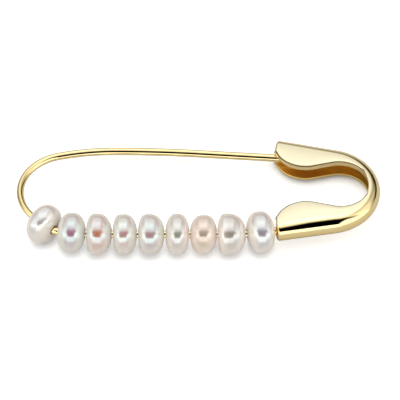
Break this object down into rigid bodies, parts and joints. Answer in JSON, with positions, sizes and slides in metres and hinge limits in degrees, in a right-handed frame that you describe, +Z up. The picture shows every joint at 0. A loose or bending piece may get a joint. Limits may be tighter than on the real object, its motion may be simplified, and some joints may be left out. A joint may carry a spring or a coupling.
{
  "type": "safety pin brooch",
  "caption": "Gold safety pin brooch: a wire bent once with a sprung pin limb, a folded clasp with leaf-shaped lips, and freshwater button pearls threaded on the fixed limb.",
  "frame": {"origin": "centre of the bounding box at its lowest point, where the brooch lies on its pearls and the far arm's round back", "axes": "+X along the brooch toward the clasp's round end, +Y across it toward the pin limb, +Z up from the surface it lies on"},
  "size_m": [0.0442, 0.0176, 0.0052],
  "materials": {
    "gold": "polished yellow gold",
    "pearl_1": "satin nacre",
    "pearl_2": "satin nacre",
    "pearl_3": "satin nacre",
    "pearl_4": "satin nacre",
    "pearl_5": "satin nacre",
    "pearl_6": "satin nacre",
    "pearl_7": "satin nacre",
    "pearl_8": "satin nacre",
    "pearl_9": "satin nacre"
  },
  "bodies": {
    "root": {"clasp": "gold", "wire": "gold", "pearl_1": "pearl_1", "pearl_2": "pearl_2", "pearl_3": "pearl_3", "pearl_4": "pearl_4", "pearl_5": "pearl_5", "pearl_6": "pearl_6", "pearl_7": "pearl_7", "pearl_8": "pearl_8", "pearl_9": "pearl_9"},
    "pin": {"pin": "gold"}
  },
  "joints": [
    {"name": "pin_press", "type": "hinge", "parent": "root", "child": "pin", "pos_m": [-0.02173, 0.00068, 0.00197], "axis": [0, 0.0982, 0.9952], "range_deg": [-8, 0], "stiffness_Nm_per_rad": 0.15, "springref_deg": 5.73}
  ]
}
